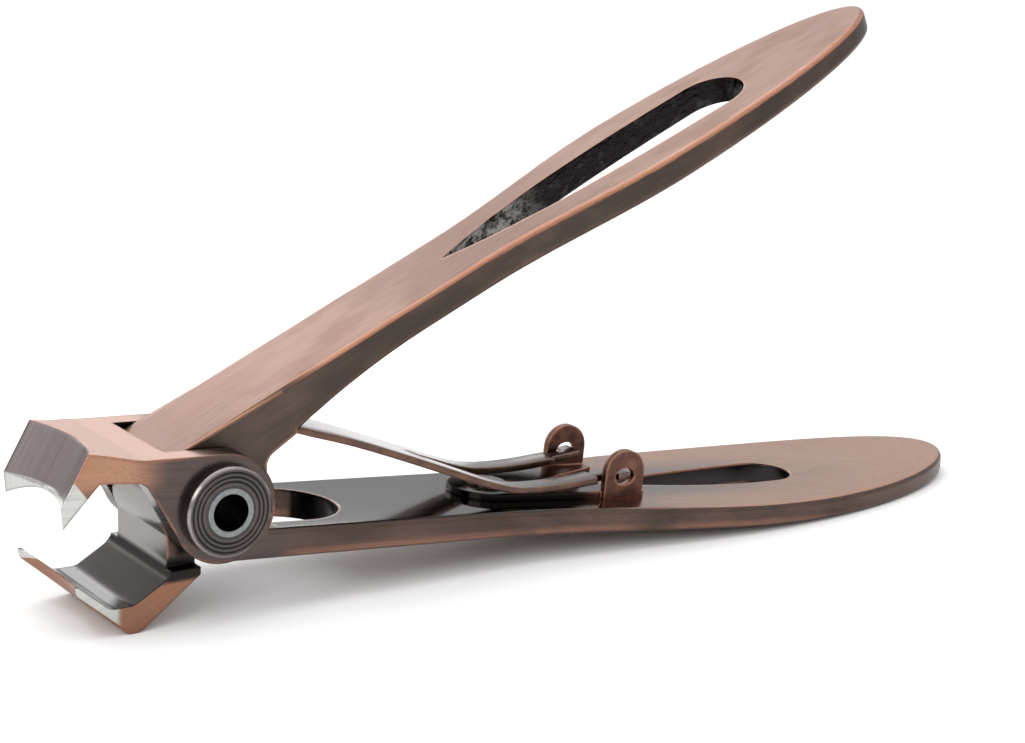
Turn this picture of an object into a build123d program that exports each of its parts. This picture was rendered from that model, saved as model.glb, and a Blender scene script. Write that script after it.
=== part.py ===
from build123d import *
from math import atan2, cos, degrees, radians, sin, tan
import os

# Plier-type toenail clipper, millimetres.  The origin is the centre of the pivot, +X runs
# along the handles, -X to the jaws, +Y across the tool and +Z up.  The tool stands as it
# does on a table: on the keel of its lower jaw and on the end of its lower handle.

# ---- Overall sizes -------------------------------------------------------------------
jaw_reach = 16.2  # pivot axis to the cutting edges
jaw_width = 13.6  # across the cutting edges
root_width = 16.4  # over the two cheeks
tang_width = 11.0  # upper lever where it passes between the cheeks
lower_handle_reach = 99.2  # pivot to the end of the lower handle
upper_handle_reach = 94.0  # pivot to the end of the upper handle, along the handle
stand_depth = 11.55  # pivot axis down to the table

# ---- Fits and gaps -------------------------------------------------------------------
side_clearance = 0.25  # tang to each cheek
running_clearance = 0.05  # rivet in the tang, on the radius
closed_gap = 0.15  # between the cutting edges with the handles squeezed
spring_gap = 0.2  # leaf spring to what it bears on
front_gap = 0.4  # tang to the front of the window

# ---- Pivot ---------------------------------------------------------------------------
cheek_radius = 5.5
tang_radius = 5.6
tube_radius = 2.35  # hollow rivet
tube_bore_radius = 1.85
tube_flare = 0.3  # rolled-over end of the rivet, on the radius
tube_flare_height = 0.4
collar_radius = 4.55
collar_height = 1.3  # flange of a collar, outside the cheek
collar_hub_radius = 3.3
collar_hub_depth = 1.9
collar_chamfer = 0.25
ring_width = 0.2  # turned rings in the flange
ring_pitch = 0.45
ring_depth = 0.15
ring_count = 3

# ---- Jaws ----------------------------------------------------------------------------
edge_angle = 19.8  # degrees between the cutting edges with the tool at rest
edge_hollow = 1.75  # how far the middle of each edge is set back
land_height = 2.1  # polished land above the upper edge
lower_land_height = 1.5
land_lean = 5.0  # degrees that a land leans out from its edge
bevel_height = 4.9
bevel_run = 2.8
crown_slope = 10.5  # degrees, top of the upper jaw down to the cheeks
head_length = 3.2  # straight sides of the upper jaw, behind its edge
flare_length = 5.0  # from there to the full width of the cheeks
ramp_angle = 46.0  # degrees, inside of the upper edge
arch_height = 3.9  # underside of the upper jaw
arch_radius = 1.8
throat_reach = 8.4  # pivot to the front of the cheeks under the jaw
cheek_front_angle = 38.0
window_front = 5.3
window_back = 16.4
bowl_angle = 40.0  # degrees, inside of the lower edge
bowl_depth = 8.75
bowl_floor = 2.4
bowl_rise = 30.0  # degrees, bowl up to the tang
bowl_radius = 1.6
throat_radius = 2.2  # bowl into the front of the tang
keel_reach = 9.0  # pivot to the middle of the lower jaw's keel
keel_flat = 1.2
keel_radius = 1.2
step_level = 5.95  # top of the lower jaw's step, under the cheeks
step_back = 1.9
step_height = 0.75

# ---- Lower handle --------------------------------------------------------------------
lower_slope = 5.3  # degrees that the inner face falls towards the end
inner_face_drop = 2.4  # inner face below the pivot, where it would meet the pivot
lower_straight = 62.0  # pivot to the start of the gentle curve
lower_root_thickness = 3.12
lower_curve_thickness = 2.5
lower_end_thickness = 2.2
lower_end_rise = 0.5  # end of the handle above the table, which it meets a little before
lower_half_width = 11.9
lower_widen_start = 32.0
lower_widest = 68.0
lower_slot_tip = 50.5
lower_slot_end = 76.4
lower_slot_half_width = 3.6

# ---- Upper handle --------------------------------------------------------------------
upper_angle = 23.0  # degrees above level with the tool at rest
top_face_root = 6.35  # top face above the line through the pivot
top_face_middle = 7.55
top_face_end = 8.1
upper_root_thickness = 4.75
upper_bend_thickness = 3.7
upper_end_thickness = 2.6
root_reach = 11.0  # pivot to the thick end of the handle's taper
bend_reach = 28.0
upper_widen_start = 36.0
upper_widest = 62.0
upper_half_width = 8.25
upper_slot_tip = 34.6
upper_slot_end = 75.6
upper_slot_half_width = 4.1
crotch_reach = 6.0  # back of the tang, under the handle
crotch_drop = 2.2  # handle's thick end down to the crotch
crotch_radius = 1.6

# ---- Softened edges ------------------------------------------------------------------
handle_round = 0.6
slot_lead = 0.35  # slope of a slot's sides at its point
longest_short_edge = 3.0

# ---- Spring bracket and its rivet ----------------------------------------------------
plate_thickness = 0.8
plate_nose = 35.5  # pivot to the centre of the round front of the plate
plate_nose_radius = 4.3
plate_tail = 2.7  # plate behind the middle of the ears
fork_depth = 10.0  # notch between the plate's arms
fork_half_width = 4.0
ear_place = 49.3
ear_spread = 12.0  # over the outer faces of the ears
ear_radius = 2.5
ear_height = 2.1  # plate's top to the middle of the ear's round
ear_hole_drop = 0.4  # hole below the middle of the round
ear_hole_width = 2.5
ear_hole_height = 1.9
rivet_radius = 1.3
rivet_head_radius = 2.2
rivet_head_height = 0.5
rivet_head_crown = 0.9  # share of the head's height that is rounded
rivet_tail_gap = 0.15  # rivet's tail below the handle's outer face

# ---- Leaf spring ---------------------------------------------------------------------
leaf_thickness = 0.8
leaf_width = 8.0
leaf_lead = (1, -0.33)  # direction of the leaf where it leaves the handle
leaf_tip = (10.4, 5.45)  # end under the upper handle
leaf_middle = (17.5, 2.95)
leaf_split = (27.5, -1.15)
leaf_leg_spread = 10.9
leaf_leg_width = 2.6
leaf_fork_width = 2.2
leaf_fork_start = 24.0
leg_rest = 36.5  # where the legs touch the plate
leg_end_gap = 0.5  # square end of a leg to its ear
tongue_width = 1.4
tongue_inset = 0.7


def at(along, above, angle):
    """Point in the XZ plane, along and above a line that rises at an angle."""
    turn = radians(angle)
    return (along * cos(turn) - above * sin(turn), along * sin(turn) + above * cos(turn))


def inner_face(place):
    """Height of the lower handle's flat inner face at a distance from the pivot."""
    return -inner_face_drop - place * tan(radians(lower_slope))


def slot_outline(tip, end, half_width):
    """Half of a teardrop slot, pointed towards the pivot and round at its far end."""
    shoulder = (end - half_width, half_width)
    Spline((tip, 0), shoulder, tangents=((1, slot_lead), (1, 0)))
    CenterArc((shoulder[0], 0), half_width, 0, 90)


def handle_outline(start, root, widen_start, widest, half_width, end):
    """Half of a handle seen from above: straight root, widening, oval end."""
    Line((start, 0), (start, root))
    Line((start, root), (widen_start, root))
    Spline((widen_start, root), (widest, half_width), tangents=((1, 0), (1, 0)))
    EllipticalCenterArc((widest, 0), end - widest, half_width, start_angle=0, arc_size=90)


def long_edges(handle, beyond):
    """Long outer edges of a handle, past a distance from the pivot."""
    return [
        edge
        for edge in handle.edges()
        if edge.center().X > beyond
        and abs(edge.center().Y) > side_clearance
        and edge.length > longest_short_edge
    ]


def hollow_plane(edge, lean, turn):
    """Plane across the cylinder that hollows the front of a jaw along a leaning line."""
    direction = at(0, 1, turn + lean)
    outward = at(-1, 0, turn + lean)
    reach = hollow_radius - edge_hollow
    centre = (edge[0] + outward[0] * reach, 0, edge[1] + outward[1] * reach)
    return Plane(origin=centre, x_dir=(0, 1, 0), z_dir=(direction[0], 0, direction[1]))


# Values that follow from those above.
cheek_face = root_width / 2
tang_half = tang_width / 2
jaw_half = jaw_width / 2
window_half = tang_half + side_clearance
collar_face = cheek_face + collar_height
hollow_radius = (jaw_half**2 + edge_hollow**2) / (2 * edge_hollow)
closing_angle = edge_angle - degrees(closed_gap / jaw_reach)
wide = root_width + lower_half_width  # further than any side
tall = lower_handle_reach  # further than any top

# ---- Lower handle --------------------------------------------------------------------
curve_top = (lower_straight, inner_face(lower_straight))
curve_bottom = (lower_straight, curve_top[1] - lower_curve_thickness)
handle_root = (0, -inner_face_drop)
handle_root_bottom = (0, -inner_face_drop - lower_root_thickness)
handle_end_bottom = (lower_handle_reach, -stand_depth + lower_end_rise)
handle_end_top = (lower_handle_reach, handle_end_bottom[1] + lower_end_thickness)
inner_direction = (cos(radians(lower_slope)), -sin(radians(lower_slope)))
face_plane = Plane(
    origin=(0, 0, -inner_face_drop),
    x_dir=(inner_direction[0], 0, inner_direction[1]),
    z_dir=(-inner_direction[1], 0, inner_direction[0]),
)
under_direction = (curve_bottom[0] - handle_root_bottom[0], curve_bottom[1] - handle_root_bottom[1])

with BuildPart() as lower_handle:
    with BuildSketch(Plane.XZ):
        with BuildLine():
            Line(handle_root, curve_top)
            TangentArc(curve_top, handle_end_top, tangent=inner_direction)
            Line(handle_end_top, handle_end_bottom)
            TangentArc(curve_bottom, handle_end_bottom, tangent=under_direction)
            Line(curve_bottom, handle_root_bottom)
            Line(handle_root_bottom, handle_root)
        make_face()
    extrude(amount=wide, both=True)
    with BuildSketch(Plane.XY):
        with BuildLine():
            handle_outline(
                0, cheek_face, lower_widen_start, lower_widest, lower_half_width, lower_handle_reach
            )
            mirror(about=Plane.XZ)
        make_face()
    extrude(amount=tall, both=True, mode=Mode.INTERSECT)
    fillet(long_edges(lower_handle, slot_lead), handle_round)
    with BuildSketch(Plane.XY):
        with BuildLine():
            slot_outline(lower_slot_tip, lower_slot_end, lower_slot_half_width)
            mirror(about=Plane.XZ)
        make_face()
    extrude(amount=tall, both=True, mode=Mode.SUBTRACT)

# ---- Cheeks and upper jaw, one forging with the lower handle --------------------------
upper_edge = (-jaw_reach, 0)
land_top = (-jaw_reach - land_height * tan(radians(land_lean)), land_height)
bevel_top = (land_top[0] + bevel_run, land_height + bevel_height)
bevel_lean = -degrees(atan2(bevel_run, bevel_height))
arch_front = (-jaw_reach + arch_height / tan(radians(ramp_angle)), arch_height)
throat_top = (-throat_reach, arch_height)
crown_drop = (-throat_reach - bevel_top[0]) * tan(radians(crown_slope))
crown_back = (-throat_reach, bevel_top[1] - crown_drop)
boss_top = (0, cheek_radius)
flare_start = -jaw_reach + head_length
flare_end = flare_start + flare_length

with BuildPart() as lower_lever:
    with BuildSketch(Plane.XZ):
        with BuildLine():
            Polyline(
                boss_top,
                crown_back,
                bevel_top,
                land_top,
                upper_edge,
                arch_front,
                throat_top,
                at(-cheek_radius, 0, cheek_front_angle),
                (0, 0),
                boss_top,
            )
        make_face()
        throat = vertices().sort_by_distance((-throat_reach, arch_height))[0]
        fillet([throat], arch_radius)
        Circle(cheek_radius)
    extrude(amount=wide, both=True)
    with BuildSketch(Plane.XY):
        with BuildLine():
            Polyline((cheek_radius, 0), (cheek_radius, cheek_face), (flare_end, cheek_face))
            Spline((flare_end, cheek_face), (flare_start, jaw_half), tangents=((-1, 0), (-1, 0)))
            Polyline((flare_start, jaw_half), (-wide, jaw_half), (-wide, 0))
            mirror(about=Plane.XZ)
        make_face()
    extrude(amount=tall, both=True, mode=Mode.INTERSECT)
    add(lower_handle.part)
    # Window for the tang, with a round back, and the throat open under the jaw.
    with BuildSketch(Plane.XY):
        with Locations((window_back - window_half, 0)):
            Circle(window_half)
        with Locations(((window_back - window_half - window_front) / 2, 0)):
            Rectangle(window_back - window_half + window_front, 2 * window_half)
    extrude(amount=tall, both=True, mode=Mode.SUBTRACT)
    with BuildSketch(Plane.XY.offset(arch_height)):
        with Locations((-throat_reach, 0)):
            Rectangle(2 * (throat_reach - window_front), 2 * window_half)
    extrude(amount=-tall, mode=Mode.SUBTRACT)
    # Hollow-ground land and bevel on the front of the upper jaw.
    with BuildSketch(hollow_plane(upper_edge, land_lean, 0)):
        Circle(hollow_radius)
    extrude(amount=tall, both=True, mode=Mode.SUBTRACT)
    with BuildSketch(hollow_plane(land_top, bevel_lean, 0)):
        Circle(hollow_radius)
    extrude(amount=tall, both=True, mode=Mode.SUBTRACT)
    # Hole for the bracket's rivet, and bores for the pivot collars.
    with BuildSketch(face_plane):
        with Locations((plate_nose, 0)):
            Circle(rivet_radius)
    extrude(amount=-tall, mode=Mode.SUBTRACT)
    with BuildSketch(Plane.XZ):
        Circle(collar_hub_radius)
    extrude(amount=wide, both=True, mode=Mode.SUBTRACT)

# ---- Upper lever: handle, tang and lower jaw, one forging -----------------------------
handle_plane = Plane(
    origin=(0, 0, 0),
    x_dir=(cos(radians(upper_angle)), 0, sin(radians(upper_angle))),
    z_dir=(-sin(radians(upper_angle)), 0, cos(radians(upper_angle))),
)
side_plane = Plane(origin=(0, 0, 0), x_dir=handle_plane.x_dir, z_dir=(0, -1, 0))
tang_front = window_front - front_gap
tang_top_along = (top_face_root * sin(radians(upper_angle)) - tang_front) / cos(radians(upper_angle))
tang_top = at(tang_top_along, top_face_root, upper_angle)
crotch = (crotch_reach, at(root_reach, top_face_root - upper_root_thickness, upper_angle)[1] - crotch_drop)
lower_edge = at(-jaw_reach, 0, edge_angle)
lower_land_lean = lower_land_height * tan(radians(land_lean))
lower_land_bottom = at(-jaw_reach - lower_land_lean, -lower_land_height, edge_angle)
bowl_start = lower_edge[0] + (lower_edge[1] + bowl_depth) / tan(radians(bowl_angle))
bowl_end = bowl_start + bowl_floor
bowl_back = -bowl_depth + (-tang_front - bowl_end) * tan(radians(bowl_rise))
keel_front = (-keel_reach - keel_flat / 2, -stand_depth)
keel_back = (-keel_reach + keel_flat / 2, -stand_depth)
handle_tip_top = (upper_handle_reach, top_face_end)
handle_tip_bottom = (upper_handle_reach, top_face_end - upper_end_thickness)
handle_bend = (bend_reach, top_face_middle - upper_bend_thickness)
handle_thick = (root_reach, top_face_root - upper_root_thickness)
bend_direction = (handle_bend[0] - handle_tip_bottom[0], handle_bend[1] - handle_tip_bottom[1])

with BuildPart() as upper_lever:
    with BuildSketch(side_plane):
        with BuildLine():
            ThreePointArc((0, top_face_root), (upper_handle_reach / 2, top_face_middle), handle_tip_top)
            Line(handle_tip_top, handle_tip_bottom)
            Line(handle_tip_bottom, handle_bend)
            TangentArc(handle_bend, handle_thick, tangent=bend_direction)
            Polyline(handle_thick, (0, 0), (0, top_face_root))
        make_face()
    extrude(amount=wide, both=True)
    with BuildSketch(handle_plane):
        with BuildLine():
            handle_outline(
                0, tang_half, upper_widen_start, upper_widest, upper_half_width, upper_handle_reach
            )
            mirror(about=Plane.XZ)
        make_face()
    extrude(amount=tall, both=True, mode=Mode.INTERSECT)
    fillet(long_edges(upper_lever, root_reach), handle_round)
    with BuildSketch(handle_plane):
        with BuildLine():
            slot_outline(upper_slot_tip, upper_slot_end, upper_slot_half_width)
            mirror(about=Plane.XZ)
        make_face()
    extrude(amount=tall, both=True, mode=Mode.SUBTRACT)
    # Tang between the cheeks, down to the bowl of the lower jaw.
    with BuildSketch(Plane.XZ):
        with BuildLine():
            Polyline(
                tang_top,
                at(root_reach, top_face_root, upper_angle),
                at(*handle_thick, upper_angle),
                crotch,
                (crotch_reach, 0),
                (-tang_front, -tang_radius),
                tang_top,
            )
        make_face()
        fillet([vertices().sort_by_distance(crotch)[0]], crotch_radius)
        Circle(tang_radius)
    extrude(amount=tang_half, both=True)
    # Lower jaw: keel, bowl and the step that runs under the cheeks.
    with BuildSketch(Plane.XZ):
        with BuildLine():
            Polyline(
                lower_edge,
                lower_land_bottom,
                keel_front,
                keel_back,
                (-step_back, -step_level - step_height),
                (-step_back, 0),
                (-tang_front, 0),
                (-tang_front, bowl_back),
                (bowl_end, -bowl_depth),
                (bowl_start, -bowl_depth),
                lower_edge,
            )
        make_face()
        fillet([vertices().sort_by_distance(keel_front)[0]], keel_radius)
        fillet([vertices().sort_by_distance(keel_back)[0]], keel_radius)
        fillet([vertices().sort_by_distance((-tang_front, bowl_back))[0]], throat_radius)
        fillet([vertices().sort_by_distance((bowl_end, -bowl_depth))[0]], bowl_radius)
        fillet([vertices().sort_by_distance((bowl_start, -bowl_depth))[0]], bowl_radius)
    extrude(amount=jaw_half, both=True)
    with BuildSketch(Plane.XY.offset(-step_level)):
        with Locations((0, jaw_half + tang_half), (0, -jaw_half - tang_half)):
            Rectangle(2 * jaw_reach, 2 * jaw_half)
    extrude(amount=2 * step_level, mode=Mode.SUBTRACT)
    with BuildSketch(hollow_plane(lower_edge, -land_lean, edge_angle)):
        Circle(hollow_radius)
    extrude(amount=tall, both=True, mode=Mode.SUBTRACT)
    with BuildSketch(Plane.XZ):
        Circle(tube_radius + running_clearance)
    extrude(amount=wide, both=True, mode=Mode.SUBTRACT)

# ---- Pivot: two turned collars and a hollow rivet -------------------------------------
collar_sides = {"near": -1, "far": 1}
collar_parts = {}
for side, sign in collar_sides.items():
    with BuildPart() as collar:
        with BuildSketch(Plane.XZ.offset(-sign * cheek_face)):
            Circle(collar_radius)
        extrude(amount=-sign * collar_height)
        rim = collar.edges().filter_by(GeomType.CIRCLE).sort_by(lambda edge: abs(edge.center().Y))[-1]
        chamfer(rim, collar_chamfer)
        for ring in range(ring_count):
            with BuildSketch(Plane.XZ.offset(-sign * (collar_face - ring_depth))):
                Circle(collar_radius - ring_pitch * (ring + 1))
                Circle(collar_radius - ring_pitch * (ring + 1) - ring_width, mode=Mode.SUBTRACT)
            extrude(amount=-sign * ring_depth, mode=Mode.SUBTRACT)
        with BuildSketch(Plane.XZ.offset(-sign * cheek_face)):
            Circle(collar_hub_radius)
        extrude(amount=sign * collar_hub_depth)
        with BuildSketch(Plane.XZ):
            Circle(tube_radius)
        extrude(amount=wide, both=True, mode=Mode.SUBTRACT)
        with BuildSketch(Plane.XZ.offset(-sign * (collar_face - tube_flare_height))):
            Circle(tube_radius + tube_flare)
        extrude(amount=-sign * tube_flare_height, mode=Mode.SUBTRACT)
    collar_parts[side] = collar.part

with BuildPart() as pivot_tube:
    with BuildSketch(Plane.XZ):
        Circle(tube_radius)
    extrude(amount=collar_face, both=True)
    for sign in (-1, 1):
        with BuildSketch(Plane.XZ.offset(sign * (collar_face - tube_flare_height))):
            Circle(tube_radius + tube_flare)
        extrude(amount=sign * tube_flare_height)
    with BuildSketch(Plane.XZ):
        Circle(tube_bore_radius)
    extrude(amount=wide, both=True, mode=Mode.SUBTRACT)

# ---- Spring bracket, a pressed plate with two ears, and its rivet ---------------------
ear_half = ear_spread / 2
plate_end = ear_place + plate_tail

with BuildPart() as spring_bracket:
    with BuildSketch(face_plane):
        with BuildLine():
            Polyline((plate_nose, plate_nose_radius), (plate_end, ear_half), (plate_end, -ear_half))
            Line((plate_end, -ear_half), (plate_nose, -plate_nose_radius))
            ThreePointArc(
                (plate_nose, -plate_nose_radius),
                (plate_nose - plate_nose_radius, 0),
                (plate_nose, plate_nose_radius),
            )
        make_face()
        with BuildLine():
            Polyline(
                (plate_end - fork_depth, 0),
                (plate_end, fork_half_width),
                (plate_end, -fork_half_width),
                close=True,
            )
        make_face(mode=Mode.SUBTRACT)
    extrude(amount=plate_thickness)
    for side in (-1, 1):
        ear_plane = Plane(
            origin=face_plane.origin + (0, side * ear_half, 0),
            x_dir=face_plane.x_dir,
            z_dir=(0, side, 0),
        )
        middle = (ear_place, side * -(plate_thickness + ear_height))
        with BuildSketch(ear_plane):
            with Locations(middle):
                Circle(ear_radius)
            with Locations((ear_place, middle[1] / 2)):
                Rectangle(2 * ear_radius, abs(middle[1]))
            with Locations((ear_place, middle[1] + side * ear_hole_drop)):
                Ellipse(ear_hole_width / 2, ear_hole_height / 2, mode=Mode.SUBTRACT)
        extrude(amount=-plate_thickness)
    with BuildSketch(face_plane):
        with Locations((plate_nose, 0)):
            Circle(rivet_radius)
    extrude(amount=tall, mode=Mode.SUBTRACT)

rivet_taper = (lower_root_thickness - lower_curve_thickness) * plate_nose / lower_straight
rivet_place_thickness = lower_root_thickness - rivet_taper

with BuildPart() as bracket_rivet:
    with BuildSketch(face_plane.offset(plate_thickness)):
        with Locations((plate_nose, 0)):
            Circle(rivet_head_radius)
    extrude(amount=rivet_head_height)
    fillet(bracket_rivet.edges().group_by(Axis.Z)[-1], rivet_head_height * rivet_head_crown)
    with BuildSketch(face_plane.offset(plate_thickness)):
        with Locations((plate_nose, 0)):
            Circle(rivet_radius)
    extrude(amount=-plate_thickness - rivet_place_thickness + rivet_tail_gap)

# ---- Leaf spring: a bar that forks into two legs, with tongues in the ears ------------
tongue_middle = at(ear_place, plate_thickness + ear_height - ear_hole_drop, -lower_slope)
tongue_level = tongue_middle[1] - inner_face_drop
leg_level = inner_face(leg_rest) + plate_thickness + spring_gap + leaf_thickness / 2
leg_low = (leg_rest, leg_level)
tongue_end = (tongue_middle[0] + tongue_width, tongue_level)
leg_outer = leaf_leg_spread / 2
leg_inner = leg_outer - leaf_leg_width
leg_end = tongue_middle[0] - ear_radius - leg_end_gap
tongue_outer = leg_outer - tongue_inset
tongue_half = tongue_width / 2

with BuildPart() as leaf_spring:
    with BuildSketch(Plane.XZ):
        with BuildLine():
            Spline(leaf_tip, leaf_middle, leaf_split, leg_low, tangents=(leaf_lead, inner_direction))
            Spline(leg_low, tongue_end, tangents=(inner_direction, (1, 0)))
        trace(line_width=leaf_thickness)
    extrude(amount=ear_half, both=True)
    with BuildSketch(Plane.XY):
        with BuildLine():
            Polyline(
                (0, 0),
                (0, leaf_width / 2),
                (leaf_fork_start, leaf_width / 2),
                (leg_rest, leg_outer),
                (leg_end, leg_outer),
                (leg_end, tongue_outer),
                (tongue_middle[0] - tongue_half, tongue_outer),
                (tongue_middle[0] - tongue_half, ear_half),
                (tongue_middle[0] + tongue_half, ear_half),
                (tongue_middle[0] + tongue_half, tongue_outer - tongue_width),
                (leg_end, tongue_outer - tongue_width),
                (leg_end, leg_inner),
                (leg_rest, leg_inner),
                (leaf_split[0], leaf_fork_width / 2),
                (leaf_split[0], 0),
            )
            mirror(about=Plane.XZ)
        make_face()
    extrude(amount=tall, both=True, mode=Mode.INTERSECT)

# ---- Files ---------------------------------------------------------------------------
nodes = {
    "lower_lever": lower_lever.part,
    "upper_lever": upper_lever.part,
    "pivot_collar_near": collar_parts["near"],
    "pivot_collar_far": collar_parts["far"],
    "pivot_tube": pivot_tube.part,
    "spring_bracket": spring_bracket.part,
    "bracket_rivet": bracket_rivet.part,
    "leaf_spring": leaf_spring.part,
}
os.makedirs("parts", exist_ok=True)
for name, piece in nodes.items():
    piece.label = name
    export_step(piece, f"parts/{name}.step")
print(f"closing angle {closing_angle:.2f} degrees")
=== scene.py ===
from math import cos, radians, sin
import bmesh
import bpy
from mathutils import Matrix, Vector


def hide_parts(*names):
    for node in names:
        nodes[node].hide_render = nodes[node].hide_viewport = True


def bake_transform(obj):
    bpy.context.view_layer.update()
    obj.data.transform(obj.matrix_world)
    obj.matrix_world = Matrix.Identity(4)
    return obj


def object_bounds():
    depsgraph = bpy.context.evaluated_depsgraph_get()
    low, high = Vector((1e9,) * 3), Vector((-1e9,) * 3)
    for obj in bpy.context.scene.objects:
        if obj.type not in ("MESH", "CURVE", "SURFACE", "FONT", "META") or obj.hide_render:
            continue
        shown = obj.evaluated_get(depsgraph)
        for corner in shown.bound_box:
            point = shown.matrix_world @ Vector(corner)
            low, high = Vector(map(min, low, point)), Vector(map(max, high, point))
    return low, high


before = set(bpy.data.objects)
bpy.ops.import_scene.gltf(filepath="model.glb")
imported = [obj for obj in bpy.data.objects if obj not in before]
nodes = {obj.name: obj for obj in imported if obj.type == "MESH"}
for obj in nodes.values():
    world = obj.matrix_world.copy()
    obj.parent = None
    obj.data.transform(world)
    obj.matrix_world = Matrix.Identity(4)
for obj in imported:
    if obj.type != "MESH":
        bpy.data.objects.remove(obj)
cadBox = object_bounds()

mm = 0.001

# Camera: a 91 mm lens in front of the jaws, a little above the tool and to its near side.
cameraSet = {
    "azimuth": -33.908,
    "elevation": 14.735,
    "roll": 1.709,
    "place": (-109.467, -219.932, 76.848),  # mm from the pivot
    "lens": 90.67,
    "sensor": 36.0,
}

studioSet = {
    "floorSize": 6000,  # mm
    "floorColour": "#F8F8F8",
    "coveHorizon": 0.62,  # brightness of the white cove at floor level and overhead
    "coveOverhead": 1.12,
    # name: (place mm, aimed at mm, width mm, height mm, watts)
    "lamps": {
        "topSoftbox": ((20, 60, 420), (35, 0, 0), 520, 380, 0.7),
        "frontSoftbox": ((-300, -170, 190), (-10, 0, 0), 240, 160, 0.35),
        "rearStrip": ((60, 380, 140), (40, 0, 10), 460, 70, 0.3),
    },
}


def linear(hexColour):  # sRGB hex to linear RGBA
    parts = [int(hexColour[i : i + 2], 16) / 255 for i in (1, 3, 5)]
    return tuple(p / 12.92 if p <= 0.04045 else ((p + 0.055) / 1.055) ** 2.4 for p in parts) + (1.0,)


def addNode(tree, kind, settings=None, inputs=None):  # one node, its settings and its links
    node = tree.nodes.new(kind)
    for name, value in (settings or {}).items():
        setattr(node, name, value)
    for key, value in (inputs or {}).items():
        if isinstance(value, bpy.types.NodeSocket):
            tree.links.new(value, node.inputs[key])
        else:
            node.inputs[key].default_value = value
    return node


def readingAlong(tree, vector, direction, offset=0.0):  # how far a point or normal lies along a direction
    dot = addNode(tree, "ShaderNodeVectorMath", {"operation": "DOT_PRODUCT"}, {0: vector, 1: direction})
    shifted = addNode(tree, "ShaderNodeMath", {"operation": "ADD"}, {0: dot.outputs["Value"], 1: offset})
    return shifted.outputs[0]


def band(tree, reading, low=None, high=None, soft=0.1 * mm):  # 1 between low and high, with soft edges
    result = None
    for limit, rising in ((low, True), (high, False)):
        if limit is None:
            continue
        ends = (0.0, 1.0) if rising else (1.0, 0.0)
        step = addNode(
            tree,
            "ShaderNodeMapRange",
            {"interpolation_type": "SMOOTHSTEP"},
            {0: reading, 1: limit - soft, 2: limit + soft, 3: ends[0], 4: ends[1]},
        ).outputs[0]
        result = step if result is None else allOf(tree, result, step)
    return result


def allOf(tree, *masks):  # where every mask holds
    result = masks[0]
    for mask in masks[1:]:
        result = addNode(tree, "ShaderNodeMath", {"operation": "MULTIPLY"}, {0: result, 1: mask}).outputs[0]
    return result


def anyOf(tree, *masks):  # where one mask or another holds
    result = masks[0]
    for mask in masks[1:]:
        result = addNode(tree, "ShaderNodeMath", {"operation": "MAXIMUM"}, {0: result, 1: mask}).outputs[0]
    return result


def exceptFor(tree, mask, hole):  # mask, less where the other one holds
    rest = addNode(tree, "ShaderNodeMath", {"operation": "SUBTRACT"}, {0: 1.0, 1: hole}).outputs[0]
    return allOf(tree, mask, rest)


def grain(tree, axes, sizes, detail=3.0, seed=0.0):  # noise drawn out to a length, a width and a depth in mm
    stretched = addNode(
        tree, "ShaderNodeVectorMath", {"operation": "MULTIPLY"}, {0: axes, 1: [1 / (size * mm) for size in sizes]}
    )
    noise = addNode(
        tree,
        "ShaderNodeTexNoise",
        {"noise_dimensions": "4D"},
        {"Vector": stretched.outputs[0], "W": seed, "Scale": 1.0, "Detail": detail, "Roughness": 0.6},
    )
    return noise.outputs[0]


def wornEdges(tree, reach, start=0.985, full=0.9):  # where an edge is rounded off, and so rubbed bright
    rounded = addNode(tree, "ShaderNodeBevel", {"samples": 4}, {"Radius": reach * mm})
    true = addNode(tree, "ShaderNodeNewGeometry")
    dot = addNode(
        tree, "ShaderNodeVectorMath", {"operation": "DOT_PRODUCT"}, {0: rounded.outputs[0], 1: true.outputs["Normal"]}
    )
    worn = addNode(tree, "ShaderNodeMapRange", {}, {0: dot.outputs["Value"], 1: start, 2: full, 3: 0.0, 4: 1.0})
    return worn.outputs[0]


def startMetal(name, direction=(1, 0, 0), upward=(0, 0, 1)):  # a metal, with readings along a piece's own axes
    material = bpy.data.materials.new(name)
    material.use_nodes = True
    tree = material.node_tree
    tree.nodes.clear()
    output = addNode(tree, "ShaderNodeOutputMaterial")
    shader = addNode(tree, "ShaderNodeBsdfPrincipled", {}, {"Metallic": 1.0})
    tree.links.new(shader.outputs[0], output.inputs[0])
    coordinates = addNode(tree, "ShaderNodeTexCoord")
    place, normal = coordinates.outputs["Object"], coordinates.outputs["Normal"]
    spot = {
        "u": readingAlong(tree, place, direction),
        "y": readingAlong(tree, place, (0, 1, 0)),
        "v": readingAlong(tree, place, upward),
        "x": readingAlong(tree, place, (1, 0, 0)),
        "z": readingAlong(tree, place, (0, 0, 1)),
        "ny": readingAlong(tree, normal, (0, 1, 0)),
        "nv": readingAlong(tree, normal, upward),
        "nx": readingAlong(tree, normal, (1, 0, 0)),
        "nz": readingAlong(tree, normal, (0, 0, 1)),
        "place": place,
    }
    spot["away"] = addNode(tree, "ShaderNodeMath", {"operation": "ABSOLUTE"}, {0: spot["y"]}).outputs[0]
    spot["sideways"] = addNode(tree, "ShaderNodeMath", {"operation": "ABSOLUTE"}, {0: spot["ny"]}).outputs[0]
    spot["axes"] = addNode(
        tree, "ShaderNodeCombineXYZ", {}, {0: spot["u"], 1: spot["y"], 2: spot["v"]}
    ).outputs[0]
    return material, tree, shader, spot


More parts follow.
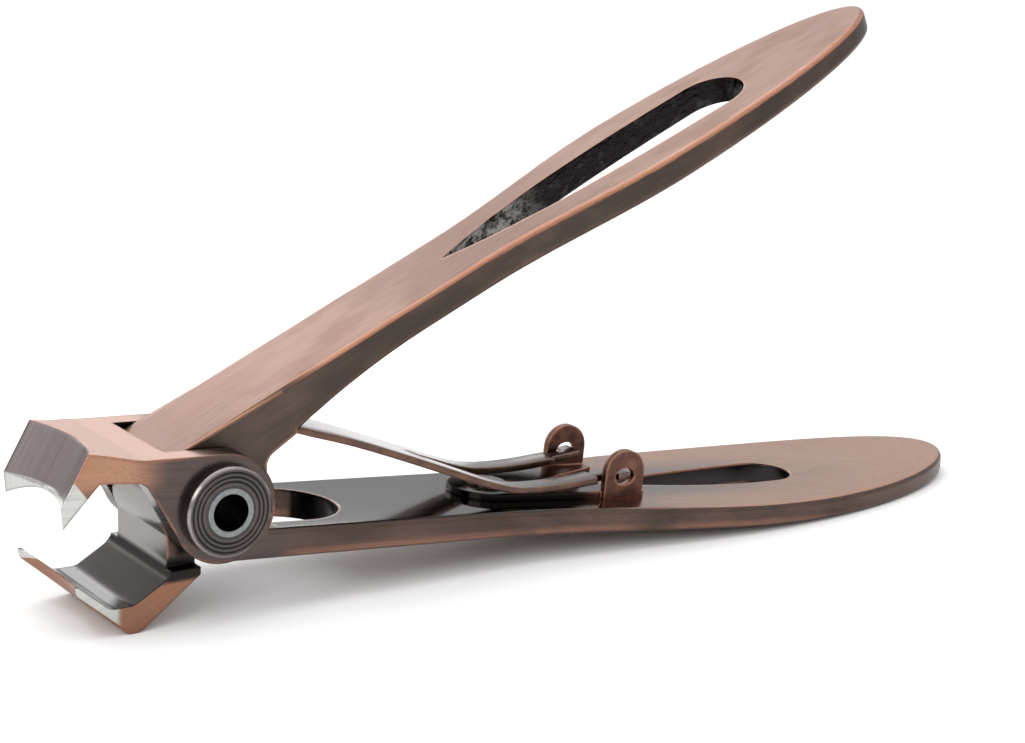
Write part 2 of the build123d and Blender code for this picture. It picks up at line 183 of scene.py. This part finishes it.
def layFinish(tree, shader, base, zones, streaks, depth):  # base finish, zones over it, streaks over all
    colour = linear(base[0])
    roughness = base[1]
    for mask, tint, gloss in zones:
        mixed = addNode(
            tree, "ShaderNodeMix", {"data_type": "RGBA"}, {"Factor": mask, 6: colour, 7: linear(tint)}
        )
        colour = mixed.outputs[2]
        mixed = addNode(tree, "ShaderNodeMix", {"data_type": "FLOAT"}, {"Factor": mask, 2: roughness, 3: gloss})
        roughness = mixed.outputs[0]
    shade = addNode(tree, "ShaderNodeMapRange", {}, {0: streaks, 1: 0.3, 2: 0.7, 3: 1 - depth, 4: 1 + depth})
    grey = addNode(tree, "ShaderNodeCombineColor", {}, {channel: shade.outputs[0] for channel in range(3)})
    streaked = addNode(
        tree,
        "ShaderNodeMix",
        {"data_type": "RGBA", "blend_type": "MULTIPLY"},
        {"Factor": 1.0, 6: colour, 7: grey.outputs[0]},
    )
    tree.links.new(streaked.outputs[2], shader.inputs["Base Color"])
    rougher = addNode(tree, "ShaderNodeMath", {"operation": "MULTIPLY"}, {0: roughness, 1: shade.outputs[0]})
    tree.links.new(rougher.outputs[0], shader.inputs["Roughness"])


def layBump(tree, shader, height, distance, strength=1.0, edgeRound=0.3):  # grain relief and soft edges, in mm
    softEdge = addNode(tree, "ShaderNodeBevel", {"samples": 6}, {"Radius": edgeRound * mm})
    bump = addNode(
        tree,
        "ShaderNodeBump",
        {},
        {"Height": height, "Distance": distance * mm, "Strength": strength, "Normal": softEdge.outputs[0]},
    )
    tree.links.new(bump.outputs[0], shader.inputs["Normal"])


lowerLeverSet = {
    "slope": 5.3,  # degrees that the handle falls
    "handleStart": 6.2,  # mm along X, behind the cheeks
    "slot": (50.0, 78.5, 3.8),  # mm along the handle and to each side
    "window": (6.6, 16.5, 4.6),  # mm along X and to each side
    "cheekGap": 5.9,  # mm to each side, what faces the tang lies within it
    "bevelFoot": 2.15,  # mm up, where the brushed bevel meets the ground land
    "underside": (0.0828, 0, 1),  # direction across the handle's lower face
    "undersideLevel": 5.52,  # mm from the pivot to that face
    "facetNormal": (0.8, 0, 0.6),  # ground flat at the jaw's corner
    "facetLevel": 9.35,  # mm from the pivot to it
    "copper": "#A97862",  # plating rubbed back to bright copper
    "crown": "#AC8C7E",
    "patina": "#4E423D",  # dark brown plating left on the sides
    "sideClouds": "#5F4E47",
    "lowEdge": "#8C6757",
    "cheek": "#544A47",
    "jawSide": "#A67C66",
    "mirror": "#413C3C",  # the inner face near the pivot, glossy, painted dark as the reflection of the upper handle's underside and the shade under the leaf spring
    "rubbedFace": "#6E6461",
    "rearFace": "#B18D7B",
    "nearEdge": "#AE8976",
    "underFace": "#7A6056",
    "blackened": "#3B3536",  # slot walls, painted dark as the shade inside the slot
    # walls of the cheek gap and the window, painted near black as the shade between the parts
    "openingWall": "#161515",
    "brushedBevel": "#8B8080",
    "jawInside": "#605B59",
    "steel": "#BDBDB9",  # ground bare steel of the edge
    "grainLength": 9.0,  # mm, brush strokes along the handle
    "grainWidth": 0.16,  # mm, belt grit is finer, drawn this coarse to show
}


def paintLowerLever():
    # Forged carbon steel, antique copper plated, then brushed: satin copper on the faces and
    # edges that the belt reached, dark brown in the hollows, bare bright steel where ground;
    # painted shade in the slot and the openings, a painted dark reflection on the inner face by the pivot.
    item = lowerLeverSet
    turn = radians(item["slope"])
    material, tree, shader, spot = startMetal(
        "antiqueCopperPlatedForging_lowerLever", (cos(turn), 0, -sin(turn)), (sin(turn), 0, cos(turn))
    )
    strokes = grain(tree, spot["axes"], (item["grainLength"], item["grainWidth"], item["grainWidth"]))
    clouds = grain(tree, spot["axes"], (9, 4, 4), 2.0, 3.0)
    upright = grain(tree, spot["axes"], (12, 0.2, 12), 3.0, 5.0)
    worn = wornEdges(tree, 0.55)
    head = band(tree, spot["x"], None, -1 * mm, 2.5 * mm)
    isTop = band(tree, spot["nv"], 0.86, None, 0.08)
    isSide = band(tree, spot["sideways"], 0.8, None, 0.15)
    handle = band(tree, spot["x"], item["handleStart"] * mm, None, 0.4 * mm)
    innerFace = allOf(tree, isTop, handle)
    drift = addNode(tree, "ShaderNodeMath", {"operation": "MULTIPLY_ADD"}, {0: clouds, 1: 24 * mm, 2: spot["u"]})
    rear = band(tree, drift.outputs[0], 84 * mm, None, 14 * mm)
    rubbed = band(tree, drift.outputs[0], 62 * mm, None, 14 * mm)
    nearEdge = allOf(tree, innerFace, rubbed, band(tree, spot["away"], 5.5 * mm, None, 3.5 * mm))
    start, end, half = item["slot"]
    slotWall = allOf(
        tree,
        band(tree, spot["u"], start * mm, end * mm, 0.2 * mm),
        band(tree, spot["away"], None, half * mm, 0.05 * mm),
        band(tree, spot["nv"], None, 0.6, 0.1),
    )
    start, end, half = item["window"]
    windowWall = allOf(
        tree,
        band(tree, spot["x"], start * mm, end * mm, 0.3 * mm),
        band(tree, spot["away"], None, half * mm, 0.2 * mm),
        band(tree, spot["nv"], -0.6, 0.6, 0.1),
    )
    cheekWall = allOf(
        tree,
        isSide,
        band(tree, spot["x"], -9 * mm, 9 * mm, 0.3 * mm),
        band(tree, spot["away"], None, item["cheekGap"] * mm, 0.05 * mm),
    )
    under = band(tree, spot["nv"], None, -0.8, 0.1)
    bottom = readingAlong(tree, spot["place"], item["underside"], item["undersideLevel"] * mm)
    lowEdge = allOf(
        tree, handle, band(tree, bottom, None, 0.75 * mm, 0.45 * mm), band(tree, clouds, 0.42, None, 0.2)
    )
    crown = allOf(
        tree, head, band(tree, spot["nz"], 0.75, None, 0.12), band(tree, spot["z"], 3 * mm, None, 1 * mm)
    )
    front = band(tree, spot["nx"], None, -0.35, 0.12)
    faceOn = band(tree, spot["sideways"], None, 0.8, 0.05)
    foot = item["bevelFoot"] * mm
    bevel = allOf(
        tree, front, faceOn, band(tree, spot["z"], foot, None, 0.06 * mm), band(tree, spot["x"], None, -11.2 * mm)
    )
    land = allOf(
        tree, front, band(tree, spot["z"], -1 * mm, foot, 0.06 * mm), band(tree, spot["x"], None, -13 * mm)
    )
    inside = allOf(
        tree,
        band(tree, spot["nz"], None, -0.25, 0.15),
        band(tree, spot["x"], None, -2 * mm, 0.5 * mm),
        band(tree, spot["z"], -1 * mm, None, 0.5 * mm),
    )
    corner = readingAlong(tree, spot["place"], item["facetNormal"], item["facetLevel"] * mm)
    facet = allOf(
        tree, isSide, band(tree, corner, None, 0.0, 0.06 * mm), band(tree, spot["z"], None, 4.4 * mm, 0.3 * mm)
    )
    cheek = allOf(tree, isSide, band(tree, spot["x"], -9 * mm, 7 * mm, 1.5 * mm))
    dull = anyOf(tree, band(tree, spot["x"], -9 * mm, None, 1 * mm), band(tree, spot["z"], None, 1 * mm))
    dullCheek = allOf(tree, dull, band(tree, spot["x"], None, 6 * mm, 1 * mm), band(tree, clouds, None, 0.55, 0.1))
    ends = allOf(
        tree, isSide, band(tree, spot["x"], None, -8 * mm, 2.5 * mm), band(tree, spot["z"], 3.2 * mm, None, 0.9 * mm)
    )
    zones = [
        (allOf(tree, isSide, band(tree, clouds, 0.5, None, 0.15)), item["sideClouds"], 0.34),
        (allOf(tree, isSide, lowEdge), item["lowEdge"], 0.34),
        (crown, item["crown"], 0.4),
        (cheek, item["cheek"], 0.26),
        (ends, item["jawSide"], 0.32),
        # painted reflection and shade: the inner face by the pivot painted dark
        (innerFace, item["mirror"], 0.08),
        (allOf(tree, innerFace, rubbed), item["rubbedFace"], 0.2),
        (allOf(tree, innerFace, rear), item["rearFace"], 0.3),
        (nearEdge, item["nearEdge"], 0.3),
        (under, item["underFace"], 0.36),
        # painted shade: the slot's walls dark
        (slotWall, item["blackened"], 0.22),
        # painted shade: near black on the walls of the cheek gap and the window
        (anyOf(tree, cheekWall, windowWall), item["openingWall"], 0.12),
        (bevel, item["brushedBevel"], 0.34),
        (inside, item["jawInside"], 0.2),
        (exceptFor(tree, exceptFor(tree, worn, front), dullCheek), item["copper"], 0.28),
        (anyOf(tree, land, facet), item["steel"], 0.22),
    ]
    relief = addNode(
        tree, "ShaderNodeMix", {"data_type": "FLOAT"}, {"Factor": anyOf(tree, bevel, land), 2: strokes, 3: upright}
    )
    layFinish(tree, shader, (item["patina"], 0.34), zones, relief.outputs[0], 0.16)
    plain = exceptFor(tree, relief.outputs[0], allOf(tree, innerFace, band(tree, spot["u"], None, 60 * mm, 9 * mm)))
    layBump(tree, shader, plain, 0.012, 0.7, 0.5)
    return material


upperLeverSet = {
    "rise": 23.0,  # degrees that the handle rises at rest
    "edgeAngle": 19.8,  # degrees between the cutting edges at rest
    "slot": (34.0, 76.5, 4.25),  # mm along the handle and to each side
    "jawRamp": 40.0,  # degrees, the bowl's fall behind the edge
    "edge": (15.24, 5.49),  # mm that the cutting edge lies ahead of the pivot and below it
    "tangHalf": 5.6,  # mm to each side
    "faceCopper": "#AA8B7E",
    "faceClouds": "#9A7A6C",
    # bands of the top face painted darker as shade
    "unworn": "#94766A",
    # rubbed copper of the worn edges, also used for the painted edge highlight
    "copper": "#AB7B65",
    "patina": "#48403B",
    "sideClouds": "#5A4C46",
    "jaw": "#8F6855",
    "blackened": "#242122",  # slot walls, painted dark as the shade inside the slot
    "castMarks": "#3B3837",
    # painted glints: bright reflections on the slot's walls near its front end, in the cast pattern
    "paleCast": "#8A8581",
    # painted shade: a dark block below the cheek
    "step": "#2C2827",
    # the tang between the cheeks, painted near black as shade
    "tang": "#171515",
    "tangFront": "#84807C",
    # the polished bowl painted dark and its front near black, as reflections
    "bowl": "#332F2E",
    "bowlFront": "#0F0E0E",
    "steel": "#BDBDB9",
    "grainLength": 12.0,  # mm
    "grainWidth": 0.16,
}


def paintUpperLever():
    # The same plated forging: its top face is brushed to pale pink copper, its sides keep the
    # dark brown plating, the slot's walls are as cast and painted dark as shade, and the lower jaw's bowl
    # is polished, its dark reflections painted in; painted shade lies in bands on the top face, on the tang
    # and below the cheek, and a painted highlight runs along the rounded edges.
    item = upperLeverSet
    turn = radians(item["rise"])
    material, tree, shader, spot = startMetal(
        "antiqueCopperPlatedForging_upperLever", (cos(turn), 0, sin(turn)), (-sin(turn), 0, cos(turn))
    )
    strokes = grain(tree, spot["axes"], (item["grainLength"], item["grainWidth"], item["grainWidth"]))
    clouds = grain(tree, spot["axes"], (10, 4, 4), 2.0, 8.0)
    cast = grain(tree, spot["axes"], (1.6, 1.0, 1.2), 4.0, 2.0)
    worn = wornEdges(tree, 0.55)
    handle = band(tree, spot["z"], 2.5 * mm, None, 1 * mm)
    top = allOf(tree, band(tree, spot["nv"], 0.9, None, 0.07), handle)
    isSide = band(tree, spot["sideways"], 0.8, None, 0.15)
    drift = addNode(tree, "ShaderNodeMath", {"operation": "MULTIPLY_ADD"}, {0: clouds, 1: 20 * mm, 2: spot["u"]})
    # painted shade: darker bands across the top face, around the slot's start and by the pivot
    unworn = anyOf(
        tree,
        band(tree, drift.outputs[0], 40 * mm, 60 * mm, 8 * mm),
        band(tree, drift.outputs[0], None, 16 * mm, 8 * mm),
    )
    # painted highlight: a copper band along the handle's rounded edges, where they turn from the top to the sides
    rim = allOf(
        tree, band(tree, spot["nv"], 0.3, 0.88, 0.12), handle, band(tree, spot["u"], 14 * mm, None, 3 * mm)
    )
    start, end, half = item["slot"]
    slotWall = allOf(
        tree,
        band(tree, spot["u"], start * mm, end * mm, 0.2 * mm),
        band(tree, spot["away"], None, half * mm, 0.05 * mm),
        band(tree, spot["nv"], -0.6, 0.6, 0.1),
    )
    jaw = anyOf(
        tree,
        allOf(
            tree, band(tree, spot["x"], None, -6.5 * mm, 0.3 * mm), band(tree, spot["z"], None, -3.5 * mm, 1.5 * mm)
        ),
        band(tree, spot["z"], None, -7.0 * mm, 0.3 * mm),
    )
    slant = radians(item["edgeAngle"])
    height = readingAlong(tree, spot["place"], (-sin(slant), 0, cos(slant)))
    normal = addNode(tree, "ShaderNodeTexCoord").outputs["Normal"]
    facing = readingAlong(tree, normal, (-cos(slant), 0, -sin(slant)))
    land = allOf(tree, band(tree, facing, 0.6, None, 0.1), band(tree, height, -1.5 * mm, None, 0.05 * mm), jaw)
    bowl = allOf(tree, band(tree, spot["x"], None, -4.6 * mm), band(tree, spot["nz"], 0.2, None, 0.1))
    bowlFront = allOf(
        tree, bowl, band(tree, spot["x"], None, -9.7 * mm, 0.3 * mm), band(tree, spot["z"], None, -6.1 * mm, 0.2 * mm)
    )
    tip = allOf(tree, slotWall, band(tree, spot["u"], None, 47 * mm, 4 * mm))
    ramp = radians(item["jawRamp"])
    ahead, down = item["edge"]
    below = readingAlong(
        tree, spot["place"], (sin(ramp), 0, cos(ramp)), (ahead * sin(ramp) + down * cos(ramp)) * mm
    )
    facet = allOf(
        tree,
        isSide,
        jaw,
        band(tree, below, -0.75 * mm, None, 0.06 * mm),
        band(tree, spot["x"], None, -10.6 * mm, 0.4 * mm),
    )
    tang = allOf(
        tree,
        band(tree, spot["away"], None, item["tangHalf"] * mm, 0.05 * mm),
        band(tree, spot["x"], -4 * mm, 11 * mm, 0.5 * mm),
        band(tree, spot["z"], -5 * mm, 2.4 * mm, 0.5 * mm),
    )
    tangFront = allOf(
        tree, band(tree, spot["nx"], None, -0.7, 0.15), band(tree, spot["x"], -6 * mm, -3 * mm, 0.5 * mm)
    )
    # painted shade: a dark block below the cheek
    step = allOf(
        tree, band(tree, spot["x"], -6.5 * mm, 0.0, 0.3 * mm), band(tree, spot["z"], -7.0 * mm, -5 * mm, 0.3 * mm)
    )
    zones = [
        (allOf(tree, isSide, band(tree, clouds, 0.56, None, 0.15)), item["sideClouds"], 0.34),
        (jaw, item["jaw"], 0.32),
        (top, item["faceCopper"], 0.32),
        (allOf(tree, top, band(tree, clouds, 0.56, None, 0.12)), item["faceClouds"], 0.36),
        # painted shade: darker bands on the top face
        (allOf(tree, top, unworn), item["unworn"], 0.3),
        # painted highlight along the rounded edges, in the copper of the rubbed edges
        (rim, item["copper"], 0.28),
        (exceptFor(tree, worn, jaw), item["copper"], 0.3),
        # painted shade: the slot's walls dark, with cast marks in it
        (slotWall, item["blackened"], 0.16),
        (allOf(tree, slotWall, band(tree, cast, 0.6, None, 0.08)), item["castMarks"], 0.24),
        # painted reflection: bright glints on the slot's walls near its front end
        (allOf(tree, tip, band(tree, cast, 0.48, None, 0.1)), item["paleCast"], 0.3),
        # painted shade below the cheek
        (step, item["step"], 0.3),
        # painted shade: the tang between the cheeks near black
        (tang, item["tang"], 0.15),
        (tangFront, item["tangFront"], 0.24),
        # painted reflections: the polished bowl dark, its front near black
        (bowl, item["bowl"], 0.16),
        (bowlFront, item["bowlFront"], 0.1),
        (anyOf(tree, land, facet), item["steel"], 0.22),
    ]
    layFinish(tree, shader, (item["patina"], 0.34), zones, strokes, 0.13)
    relief = addNode(tree, "ShaderNodeMix", {"data_type": "FLOAT"}, {"Factor": slotWall, 2: strokes, 3: cast})
    depth = addNode(tree, "ShaderNodeMapRange", {}, {0: slotWall, 1: 0.0, 2: 1.0, 3: 0.012, 4: 0.35})
    lifted = addNode(
        tree, "ShaderNodeMath", {"operation": "MULTIPLY"}, {0: relief.outputs[0], 1: depth.outputs[0]}
    )
    layBump(tree, shader, lifted.outputs[0], 1.0, 0.7)
    return material


pivotSet = {
    "turned": "#56504E",
    "rim": "#4A4543",
    "groove": "#282424",
    "grooveLevel": 8.3,  # mm from the middle, the floor of the turned groove
    "faceLevel": 9.36,  # mm from the middle, the outermost face
    "chamfer": "#8F8A87",
    "chamferRadius": 4.3,  # mm
    "recess": "#6A6461",
    "tube": "#7F8283",
    "flare": "#4A4746",
    "flareRadius": 2.42,  # mm
    # inside of the bore, painted near black as shade
    "bore": "#0B0A0A",
    "boreRadius": 1.87,  # mm
    "ringSpacing": 0.12,  # mm, feed marks of the lathe
}


def paintCollar():
    # Free-cutting steel, turned and blackened: fine rings, a bright edge where the black has worn.
    item = pivotSet
    material, tree, shader, spot = startMetal("turnedBlackenedSteel")
    flat = addNode(tree, "ShaderNodeCombineXYZ", {}, {0: spot["x"], 2: spot["z"]})
    radius = addNode(tree, "ShaderNodeVectorMath", {"operation": "LENGTH"}, {0: flat.outputs[0]}).outputs["Value"]
    polar = addNode(tree, "ShaderNodeCombineXYZ", {}, {0: radius, 1: spot["away"], 2: 0.0})
    rings = grain(tree, polar.outputs[0], (item["ringSpacing"], 4, 4), 2.0, 1.0)
    outer = band(tree, spot["away"], item["faceLevel"] * mm, None, 0.03 * mm)
    sunk = band(tree, spot["away"], item["grooveLevel"] * mm, None, 0.1 * mm)
    zones = [
        (band(tree, spot["sideways"], None, 0.5, 0.1), item["rim"], 0.3),
        (exceptFor(tree, sunk, outer), item["groove"], 0.35),
        (band(tree, radius, item["chamferRadius"] * mm, None, 0.05 * mm), item["chamfer"], 0.2),
        (band(tree, spot["away"], None, 9.2 * mm, 0.05 * mm), item["recess"], 0.28),
    ]
    layFinish(tree, shader, (item["turned"], 0.28), zones, rings, 0.2)
    layBump(tree, shader, rings, 0.01, 0.8)
    return material


def paintTube():
    # Bare steel tube, cut and flared over: bright scuffed lip round the bore, which is painted black as shade.
    item = pivotSet
    material, tree, shader, spot = startMetal("flaredBareSteelTube")
    flat = addNode(tree, "ShaderNodeCombineXYZ", {}, {0: spot["x"], 2: spot["z"]})
    radius = addNode(tree, "ShaderNodeVectorMath", {"operation": "LENGTH"}, {0: flat.outputs[0]}).outputs["Value"]
    scuffs = grain(tree, spot["place"], (0.5, 0.5, 0.5), 4.0, 4.0)
    zones = [
        (band(tree, radius, item["flareRadius"] * mm, None, 0.05 * mm), item["flare"], 0.3),
        # painted shade: the bore near black
        (band(tree, radius, None, item["boreRadius"] * mm, 0.02 * mm), item["bore"], 0.5),
    ]
    layFinish(tree, shader, (item["tube"], 0.25), zones, scuffs, 0.25)
    layBump(tree, shader, scuffs, 0.05, 0.6)
    return material


bracketSet = {
    "sheet": "#5A4138",
    "blotches": "#745246",
    # the plate's glossy front, painted near black as a dark reflection
    "plate": "#2B2524",
    "copper": "#B27B64",
    "shadow": "#3A2C28",
    "rivet": "#4A4443",
    "rivetEdge": "#8A6658",
}


def paintBracket():
    # Pressed steel sheet, antique copper plated and tumbled: soft brown with copper edges, and a painted dark
    # reflection on the plate's glossy front.
    item = bracketSet
    material, tree, shader, spot = startMetal("tumbledCopperPlatedSheet")
    blotches = grain(tree, spot["place"], (1.4, 1.4, 1.4), 4.0, 6.0)
    worn = wornEdges(tree, 0.35)
    plate = allOf(
        tree, band(tree, spot["x"], None, 45.5 * mm, 1.5 * mm), band(tree, spot["z"], None, -4.2 * mm, 0.3 * mm)
    )
    zones = [
        (band(tree, blotches, 0.55, None, 0.15), item["blotches"], 0.34),
        # painted reflection: the plate's front near black
        (plate, item["plate"], 0.14),
        (exceptFor(tree, worn, plate), item["copper"], 0.3),
        (band(tree, blotches, None, 0.34, 0.06), item["shadow"], 0.4),
    ]
    layFinish(tree, shader, (item["sheet"], 0.32), zones, blotches, 0.1)
    layBump(tree, shader, blotches, 0.03, 0.4, 0.35)
    return material


def paintRivet():
    # Headed steel rivet under the same plating, dark and a little glossy.
    item = bracketSet
    material, tree, shader, spot = startMetal("platedSteelRivet")
    blotches = grain(tree, spot["place"], (0.9, 0.9, 0.9), 3.0, 9.0)
    zones = [(wornEdges(tree, 0.25), item["rivetEdge"], 0.3)]
    layFinish(tree, shader, (item["rivet"], 0.26), zones, blotches, 0.2)
    layBump(tree, shader, blotches, 0.03, 0.5)
    return material


leafSet = {
    "thickness": 0.74,  # mm
    "edgeRound": 0.16,  # mm
    "stations": 48,
    "splineSteps": 24,
    # centre line in mm, from under the upper handle down to the bracket's ears
    "route": [
        (10.45, 5.4),
        (17.5, 2.95),
        (27.5, -1.15),
        (33.0, -3.4),
        (36.5, -4.37),
        (41.0, -4.72),
        (45.5, -4.66),
        (50.0, -4.48),
    ],
    # place along X, inner edge and outer edge of one half, down to the tongue that fills its ear
    "halves": [
        (10.45, 0.0, 3.7),
        (12.0, 0.0, 3.97),
        (24.0, 0.0, 3.98),
        (26.2, 0.0, 4.2),
        (27.6, 0.75, 4.45),
        (36.5, 2.85, 5.4),
        (46.2, 2.86, 5.42),
        (46.25, 3.35, 4.75),
        (48.6, 3.35, 4.75),
        (48.65, 3.4, 5.95),
        (49.95, 3.4, 5.95),
    ],
    "top": "#9A9492",
    "rearTop": "#5B5250",
    "edge": "#6E5449",
    "wornEdge": "#9C7E70",
    "under": "#5C4A43",
}


def smoothLine(points):  # fine places on a smooth line through points
    before = [tuple(2 * a - b for a, b in zip(points[0], points[1]))]
    after = [tuple(2 * a - b for a, b in zip(points[-1], points[-2]))]
    knots = [Vector(p) for p in before + list(points) + after]
    fine = []
    for i in range(1, len(knots) - 2):
        a, b, c, d = knots[i - 1 : i + 3]
        for step in range(leafSet["splineSteps"]):
            t = step / leafSet["splineSteps"]
            bend = (2 * a - 5 * b + 4 * c - d) * t**2 + (3 * b - a - 3 * c + d) * t**3
            fine.append(0.5 * (2 * b + (c - a) * t + bend))
    return fine + [knots[-2]]


def placesOn(line, stops, count):  # even places along X, and one at each stop
    first, last = line[0].x, line[-1].x
    wanted = {round(first + (last - first) * i / (count - 1), 3) for i in range(count)}
    wanted = [x for x in wanted if all(abs(x - stop) > 0.3 for stop in stops)]
    wanted += [x for x in stops if first <= x <= last]
    places = []
    for x in sorted(wanted):
        a, b = next((a, b) for a, b in zip(line, line[1:]) if b.x >= x)
        places.append(a.lerp(b, (x - a.x) / (b.x - a.x)))
    return places


def readTable(rows, place):  # inner and outer edge at a place along X
    for a, b in zip(rows, rows[1:]):
        if place <= b[0]:
            share = max(0.0, (place - a[0]) / (b[0] - a[0]))
            return [a[i] + (b[i] - a[i]) * share for i in (1, 2)]
    return rows[-1][1:]


def makeLeaf():
    item = leafSet
    places = placesOn(smoothLine(item["route"]), [row[0] for row in item["halves"]], item["stations"])
    mesh = bmesh.new()
    for side in (-1, 1):
        rows = []
        for i, spot in enumerate(places):
            ahead = places[min(i + 1, len(places) - 1)] - places[max(i - 1, 0)]
            lift = Vector((-ahead.y, ahead.x)).normalized() * item["thickness"] / 2
            inner, outer = readTable(item["halves"], spot.x)
            row = []
            for level in (1, -1):
                for share in (0.0, 0.5, 1.0):
                    across = side * (inner + (outer - inner) * share)
                    corner = Vector((spot.x + level * lift.x, across, spot.y + level * lift.y))
                    row.append(mesh.verts.new(corner * mm))
            rows.append((row, inner))
        for (a, innerA), (b, innerB) in zip(rows, rows[1:]):
            for i in (0, 1):
                mesh.faces.new((a[i], b[i], b[i + 1], a[i + 1]))
                mesh.faces.new((a[i + 3], a[i + 4], b[i + 4], b[i + 3]))
            mesh.faces.new((a[2], b[2], b[5], a[5]))
            if innerA > 0.0 or innerB > 0.0:
                mesh.faces.new((a[0], a[3], b[3], b[0]))
        for row, _ in (rows[0], rows[-1]):
            mesh.faces.new((row[0], row[1], row[4], row[3]))
            mesh.faces.new((row[1], row[2], row[5], row[4]))
    bmesh.ops.remove_doubles(mesh, verts=mesh.verts, dist=0.01 * mm)
    bmesh.ops.recalc_face_normals(mesh, faces=mesh.faces)
    data = bpy.data.meshes.new("leafSpringBar")
    mesh.to_mesh(data)
    mesh.free()
    leaf = bpy.data.objects.new("leafSpringBar", data)
    bpy.context.scene.collection.objects.link(leaf)
    softened = leaf.modifiers.new("softenedEdges", "BEVEL")
    softened.width = item["edgeRound"] * mm
    softened.segments = 3
    softened.limit_method = "ANGLE"
    softened.angle_limit = radians(40)
    for face in data.polygons:
        face.use_smooth = True
    return leaf


def paintLeaf():
    # Spring steel strip, polished on its top, its sheared edges and underside copper plated.
    item = leafSet
    material, tree, shader, spot = startMetal("polishedPlatedSpringSteel")
    strokes = grain(tree, spot["place"], (7, 0.14, 0.14), 3.0, 7.0)
    blotches = grain(tree, spot["place"], (2.0, 1.2, 1.2), 3.0, 2.0)
    upper = band(tree, spot["nz"], 0.55, None, 0.25)
    rear = band(tree, spot["x"], 36 * mm, None, 7 * mm)
    zones = [
        (band(tree, blotches, 0.5, None, 0.15), item["under"], 0.32),
        (upper, item["top"], 0.2),
        (allOf(tree, upper, rear), item["rearTop"], 0.24),
        (wornEdges(tree, 0.2), item["wornEdge"], 0.26),
    ]
    layFinish(tree, shader, (item["edge"], 0.3), zones, strokes, 0.14)
    layBump(tree, shader, strokes, 0.008, 0.6)
    return material


def setFinish(piece, material):
    slots = piece.material_slots
    if slots:
        for place in slots:
            place.material = material
    else:
        piece.data.materials.append(material)


def buildStudio():
    scene = bpy.context.scene
    scene.view_settings.view_transform = "Standard"
    world = bpy.data.worlds.new("whiteCove")
    world.use_nodes = True
    tree = world.node_tree
    sky = addNode(tree, "ShaderNodeTexCoord").outputs["Generated"]
    height = readingAlong(tree, sky, (0, 0, 1))
    glow = addNode(
        tree,
        "ShaderNodeMapRange",
        {"interpolation_type": "SMOOTHSTEP"},
        {0: height, 1: 0.0, 2: 0.65, 3: studioSet["coveHorizon"], 4: studioSet["coveOverhead"]},
    )
    tree.nodes["Background"].inputs["Color"].default_value = (1, 1, 1, 1)
    tree.links.new(glow.outputs[0], tree.nodes["Background"].inputs["Strength"])
    scene.world = world
    half = studioSet["floorSize"] / 2 * mm
    level = cadBox[0][2] - 0.01 * mm  # just under the keel and the lower handle
    data = bpy.data.meshes.new("studioFloor")
    corners = [(-half, -half, level), (half, -half, level), (half, half, level), (-half, half, level)]
    data.from_pydata(corners, [], [(0, 1, 2, 3)])
    floor = bpy.data.objects.new("studioFloor", data)
    scene.collection.objects.link(floor)
    paper = bpy.data.materials.new("mattWhitePaper")
    paper.use_nodes = True
    shader = paper.node_tree.nodes["Principled BSDF"]
    shader.inputs["Base Color"].default_value = linear(studioSet["floorColour"])
    shader.inputs["Roughness"].default_value = 0.9
    shader.inputs["Specular IOR Level"].default_value = 0.1
    data.materials.append(paper)
    for name, (place, target, width, height, watts) in studioSet["lamps"].items():
        lamp = bpy.data.lights.new(name, "AREA")
        lamp.shape = "RECTANGLE"
        lamp.size = width * mm
        lamp.size_y = height * mm
        lamp.energy = watts
        holder = bpy.data.objects.new(name, lamp)
        holder.location = Vector(place) * mm
        aim = Vector(target) - Vector(place)
        holder.rotation_euler = aim.to_track_quat("-Z", "Y").to_euler()
        scene.collection.objects.link(holder)


def placeCamera():
    item = cameraSet
    side, tilt, roll = (radians(item[key]) for key in ("azimuth", "elevation", "roll"))
    back = Vector((sin(side) * cos(tilt), -cos(side) * cos(tilt), sin(tilt)))
    right = (-back).cross(Vector((0, 0, 1))).normalized()
    upward = right.cross(-back)
    rolledRight = right * cos(roll) + upward * sin(roll)
    rolledUp = upward * cos(roll) - right * sin(roll)
    lens = bpy.data.cameras.new("studioCamera")
    lens.sensor_width = item["sensor"]
    lens.lens = item["lens"]
    lens.clip_start = 0.01
    camera = bpy.data.objects.new("studioCamera", lens)
    turn = Matrix((rolledRight, rolledUp, back)).transposed().to_4x4()
    camera.matrix_world = Matrix.Translation(Vector(item["place"]) * mm) @ turn
    bpy.context.scene.collection.objects.link(camera)
    bpy.context.scene.camera = camera


placeCamera()
buildStudio()
print("camera, floor and lamps placed")

setFinish(nodes["lower_lever"], paintLowerLever())
setFinish(nodes["upper_lever"], paintUpperLever())
collarFinish = paintCollar()
setFinish(nodes["pivot_collar_near"], collarFinish)
setFinish(nodes["pivot_collar_far"], collarFinish)
setFinish(nodes["pivot_tube"], paintTube())
setFinish(nodes["spring_bracket"], paintBracket())
setFinish(nodes["bracket_rivet"], paintRivet())
print("plating and turned finishes laid")

leaf = makeLeaf()
setFinish(leaf, paintLeaf())
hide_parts("leaf_spring")
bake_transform(leaf)
print("leaf spring made")
